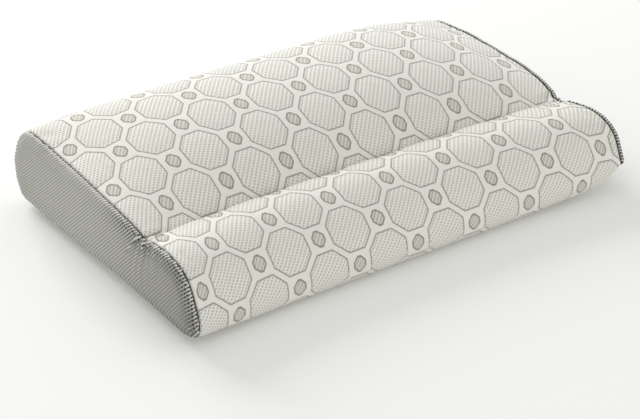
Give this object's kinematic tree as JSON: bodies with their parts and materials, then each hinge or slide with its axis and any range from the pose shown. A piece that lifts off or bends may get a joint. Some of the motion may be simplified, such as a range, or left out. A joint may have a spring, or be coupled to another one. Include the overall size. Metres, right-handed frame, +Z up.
{
  "type": "bed pillow",
  "caption": "Contoured bed pillow with a domed main pad, a crease and a lower neck roll, in a zipped knitted cover with ribbed mesh ends.",
  "frame": {"origin": "centre of the bounding box in plan, on the surface that the pillow lies on", "axes": "+X along the length, to the right seen from the neck-roll side; +Y from the neck roll at the front to the main pad and zip at the rear; +Z up"},
  "size_m": [0.6126, 0.3949, 0.128],
  "materials": {
    "jacquard_knit": "matte",
    "spacer_mesh": "matte",
    "overlock_thread": "matte",
    "twill_tape": "matte",
    "stockinette": "matte",
    "viscoelastic_foam": "matte",
    "zip_tape": "matte",
    "zip_coil": "satin",
    "bar_tack": "matte",
    "slider_metal": "satin",
    "pull_metal": "satin"
  },
  "bodies": {
    "pillow": {"cover_wrap": "jacquard_knit", "end_panel_left": "spacer_mesh", "end_panel_right": "spacer_mesh", "seam_binding_left": "overlock_thread", "seam_binding_right": "overlock_thread", "crease_tape": "twill_tape", "core_sleeve": "stockinette", "foam_core": "viscoelastic_foam", "zip_tape_upper": "zip_tape", "zip_tape_lower": "zip_tape", "zip_coil_upper": "zip_coil", "zip_coil_lower": "zip_coil", "zip_stop_left": "bar_tack", "zip_stop_right": "bar_tack"},
    "slider": {"zip_slider": "slider_metal"},
    "pull": {"zip_pull": "pull_metal"}
  },
  "joints": [
    {"name": "zip_slide", "type": "slide", "parent": "pillow", "child": "slider", "axis": [1, 0, 0], "range_m": [-0.468, 0]},
    {"name": "pull_swing", "type": "hinge", "parent": "slider", "child": "pull", "pos_m": [0.234, 0.19312, 0.01795], "axis": [0, -0.5, -0.866], "range_deg": [0, 170]}
  ]
}
